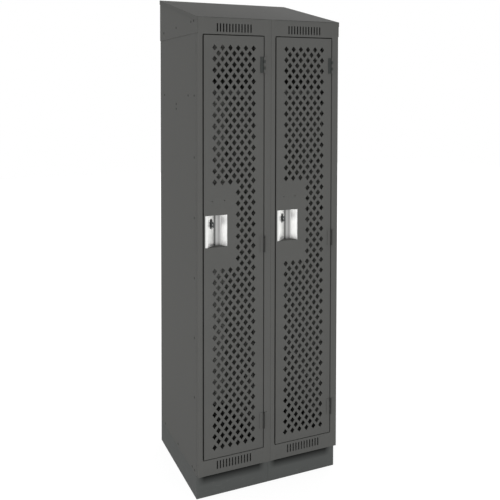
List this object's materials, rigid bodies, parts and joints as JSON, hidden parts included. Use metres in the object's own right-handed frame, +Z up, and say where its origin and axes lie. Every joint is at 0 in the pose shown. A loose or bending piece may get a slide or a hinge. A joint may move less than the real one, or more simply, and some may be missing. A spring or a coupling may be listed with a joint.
{
  "type": "locker cabinet",
  "caption": "Charcoal steel locker with side-by-side perforated doors, recessed handle pockets with lift latches, hat shelves, a sloping hood and a closed base.",
  "frame": {"origin": "centre of the footprint, on the floor under the base", "axes": "+Z up, the doors face -Y, +X to the right of someone facing the doors"},
  "size_m": [0.6172, 0.465, 1.9546],
  "materials": {
    "body_paint": "charcoal powder coat, satin, very fine texture",
    "door_paint": "charcoal powder coat, satin, very fine texture",
    "stainless_pocket": "brushed stainless, folded",
    "hinge_steel": "dark painted steel, satin",
    "latch_steel": "dark blackened steel",
    "zinc_steel": "zinc plated",
    "rubber": "moulded, matt"
  },
  "bodies": {
    "cabinet": {"left_side_panel": "body_paint", "right_side_panel": "body_paint", "centre_partition": "body_paint", "back_panel": "body_paint", "left_base_side": "body_paint", "right_base_side": "body_paint", "base_centre_bar": "body_paint", "base_back": "body_paint", "hood_slope_panel": "body_paint", "hood_left_end": "body_paint", "hood_right_end": "body_paint", "hood_back": "body_paint", "left_latch_stile": "body_paint", "left_hinge_stile": "body_paint", "left_header": "body_paint", "left_sill": "body_paint", "left_floor": "body_paint", "left_flat_top": "body_paint", "left_hat_shelf": "body_paint", "left_locker_left_hook": "zinc_steel", "left_locker_right_hook": "zinc_steel", "left_strike": "zinc_steel", "left_kick_plate": "body_paint", "left_top_hinge_frame_leaf": "body_paint", "left_top_hinge_pin": "hinge_steel", "left_middle_hinge_frame_leaf": "body_paint", "left_middle_hinge_pin": "hinge_steel", "left_bottom_hinge_frame_leaf": "body_paint", "left_bottom_hinge_pin": "hinge_steel", "right_latch_stile": "body_paint", "right_hinge_stile": "body_paint", "right_header": "body_paint", "right_sill": "body_paint", "right_floor": "body_paint", "right_flat_top": "body_paint", "right_hat_shelf": "body_paint", "right_locker_left_hook": "zinc_steel", "right_locker_right_hook": "zinc_steel", "right_strike": "zinc_steel", "right_kick_plate": "body_paint", "right_top_hinge_frame_leaf": "body_paint", "right_top_hinge_pin": "hinge_steel", "right_middle_hinge_frame_leaf": "body_paint", "right_middle_hinge_pin": "hinge_steel", "right_bottom_hinge_frame_leaf": "body_paint", "right_bottom_hinge_pin": "hinge_steel"},
    "left_door": {"left_door_panel": "door_paint", "left_door_stiffener": "door_paint", "left_handle_pocket": "stainless_pocket", "left_top_hinge_door_leaf": "hinge_steel", "left_middle_hinge_door_leaf": "hinge_steel", "left_bottom_hinge_door_leaf": "hinge_steel"},
    "left_latch": {"left_latch": "latch_steel"},
    "right_door": {"right_door_panel": "door_paint", "right_door_stiffener": "door_paint", "right_handle_pocket": "stainless_pocket", "right_top_hinge_door_leaf": "hinge_steel", "right_middle_hinge_door_leaf": "hinge_steel", "right_bottom_hinge_door_leaf": "hinge_steel"},
    "right_latch": {"right_latch": "latch_steel"}
  },
  "joints": [
    {"name": "left_door_hinge", "type": "hinge", "parent": "cabinet", "child": "left_door", "pos_m": [-0.03, -0.22875, 0.962], "axis": [0, 0, 1], "range_deg": [0, 170]},
    {"name": "right_door_hinge", "type": "hinge", "parent": "cabinet", "child": "right_door", "pos_m": [0.2748, -0.22875, 0.962], "axis": [0, 0, 1], "range_deg": [0, 170]},
    {"name": "left_latch_lift", "type": "slide", "parent": "left_door", "child": "left_latch", "axis": [0, 0, 1], "range_m": [0, 0.011]},
    {"name": "right_latch_lift", "type": "slide", "parent": "right_door", "child": "right_latch", "axis": [0, 0, 1], "range_m": [0, 0.011]}
  ]
}
